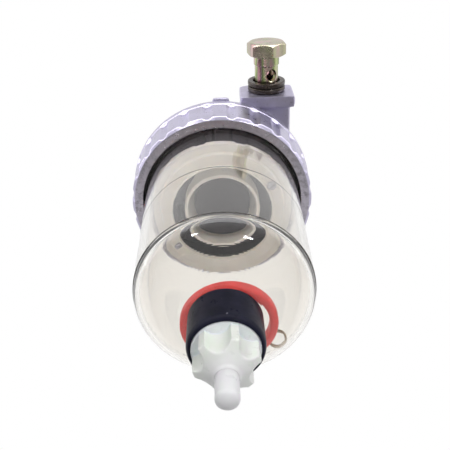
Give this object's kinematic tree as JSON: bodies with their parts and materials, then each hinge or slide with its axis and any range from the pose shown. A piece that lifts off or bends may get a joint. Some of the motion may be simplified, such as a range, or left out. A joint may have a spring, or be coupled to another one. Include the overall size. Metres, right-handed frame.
{
  "type": "fuel water separator",
  "caption": "Fuel water separator: cast head with hollow-bolt ports, ring nut, clear bowl with float ring, baffle and outlet tube, drain cock.",
  "frame": {"origin": "middle of the machined mounting face on top of the head", "axes": "+Z along the bowl's axis towards the mounting face, the two port axes along Y, the inlet facing -Y and the outlet +Y"},
  "size_m": [0.099, 0.1352, 0.214],
  "materials": {
    "cast_aluminium": "rough die cast",
    "clear_plastic": "clear, slightly yellow",
    "cream_nylon": "moulded",
    "white_nylon": "moulded, slightly see-through",
    "black_plastic": "smooth",
    "red_plastic": "moulded",
    "black_rubber": "moulded",
    "yellow_zinc": "yellow passivated zinc plate",
    "washer_metal": "dark, slightly glossy",
    "bright_steel": "bright"
  },
  "bodies": {
    "head": {"head_casting": "cast_aluminium", "bowl_gasket": "black_rubber", "outlet_tube": "cream_nylon", "tube_seal": "black_rubber", "baffle_plate": "cream_nylon", "plate_screws": "bright_steel"},
    "bowl": {"bowl": "clear_plastic", "drain_collar": "black_plastic", "wire_ring": "yellow_zinc"},
    "ring": {"ring_nut": "cast_aluminium"},
    "float": {"float_ring": "red_plastic"},
    "cock_seals": {"cock_seal": "black_rubber", "stem_seal": "black_rubber"},
    "cock": {"drain_cock": "white_nylon"},
    "inlet_washers": {"inlet_inner_washer": "washer_metal", "inlet_outer_washer": "washer_metal"},
    "inlet_bolt": {"inlet_bolt": "yellow_zinc"},
    "outlet_washers": {"outlet_inner_washer": "washer_metal", "outlet_outer_washer": "washer_metal"},
    "outlet_bolt": {"outlet_bolt": "yellow_zinc"}
  },
  "joints": [
    {"name": "bowl_drop", "type": "slide", "parent": "head", "child": "bowl", "axis": [0, 0, -1], "range_m": [0, 0.015]},
    {"name": "ring_turn", "type": "hinge", "parent": "bowl", "child": "ring", "pos_m": [0, 0, -0.058], "axis": [0, 0, -1], "range_deg": [0, 1800]},
    {"name": "float_rise", "type": "slide", "parent": "bowl", "child": "float", "axis": [0, 0, 1], "range_m": [0, 0.079]},
    {"name": "cock_back", "type": "slide", "parent": "bowl", "child": "cock_seals", "axis": [0, 0, -1], "range_m": [0, 0.0105]},
    {"name": "cock_turn", "type": "hinge", "parent": "cock_seals", "child": "cock", "pos_m": [0, 0, -0.185], "axis": [0, 0, -1], "range_deg": [0, 2520]},
    {"name": "inlet_bolt_out", "type": "slide", "parent": "head", "child": "inlet_washers", "axis": [0, -1, 0], "range_m": [0, 0.0105]},
    {"name": "inlet_bolt_turn", "type": "hinge", "parent": "inlet_washers", "child": "inlet_bolt", "pos_m": [0.0268, -0.05, -0.018], "axis": [0, -1, 0], "range_deg": [0, 2520]},
    {"name": "outlet_bolt_out", "type": "slide", "parent": "head", "child": "outlet_washers", "axis": [0, 1, 0], "range_m": [0, 0.0105]},
    {"name": "outlet_bolt_turn", "type": "hinge", "parent": "outlet_washers", "child": "outlet_bolt", "pos_m": [0, 0.031, -0.0132], "axis": [0, 1, 0], "range_deg": [0, 2520]}
  ],
  "couplings": [
    {"joint": "bowl_drop", "follows": "ring_turn", "m_per_rad": 0.00047746},
    {"joint": "cock_back", "follows": "cock_turn", "m_per_rad": 0.00023873},
    {"joint": "inlet_bolt_turn", "follows": "inlet_bolt_out", "rad_per_m": 4188.8},
    {"joint": "outlet_bolt_turn", "follows": "outlet_bolt_out", "rad_per_m": 4188.8}
  ]
}
